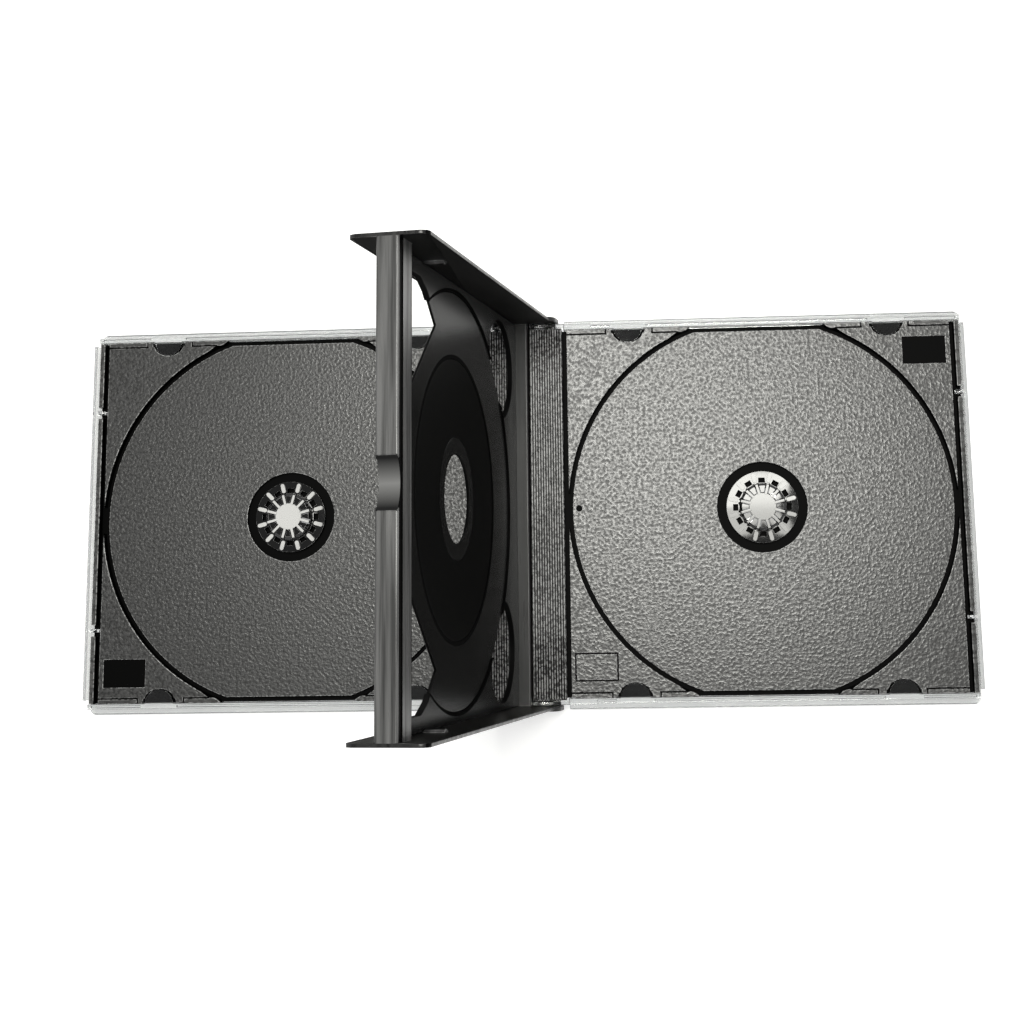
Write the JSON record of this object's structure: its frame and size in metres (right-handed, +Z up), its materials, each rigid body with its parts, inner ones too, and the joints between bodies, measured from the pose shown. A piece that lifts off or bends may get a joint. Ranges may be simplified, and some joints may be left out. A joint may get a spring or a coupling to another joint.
{
  "type": "double disc jewel case",
  "caption": "Double disc jewel case opened flat like a book, with clear covers, dark disc trays and a black centre frame that holds a panel.",
  "frame": {"origin": "bottom centre of the open case's bounding box, on the table under the spine", "axes": "+X across the open case towards the right cover, +Y along the spine away from the viewer, +Z up, as the case lies on a table"},
  "size_m": [0.2859, 0.125, 0.143],
  "materials": {
    "clear_cover": "polished clear",
    "grey_tray": "satin, fine speckle",
    "black_frame": "semi gloss",
    "black_panel": "semi gloss"
  },
  "bodies": {
    "left_leaf": {"left_cover": "clear_cover", "left_tray": "grey_tray"},
    "page": {"centre_frame": "black_frame", "centre_panel": "black_panel"},
    "right_leaf": {"right_cover": "clear_cover", "right_tray": "grey_tray"}
  },
  "joints": [
    {"name": "left_hinge", "type": "hinge", "parent": "left_leaf", "child": "page", "pos_m": [-0.00594, 0, 0.006], "axis": [0, 1, 0], "range_deg": [-82, 20]},
    {"name": "right_hinge", "type": "hinge", "parent": "page", "child": "right_leaf", "pos_m": [0.00594, 0, 0.00767], "axis": [0, 1, 0], "range_deg": [-98.7, 3.3]}
  ]
}
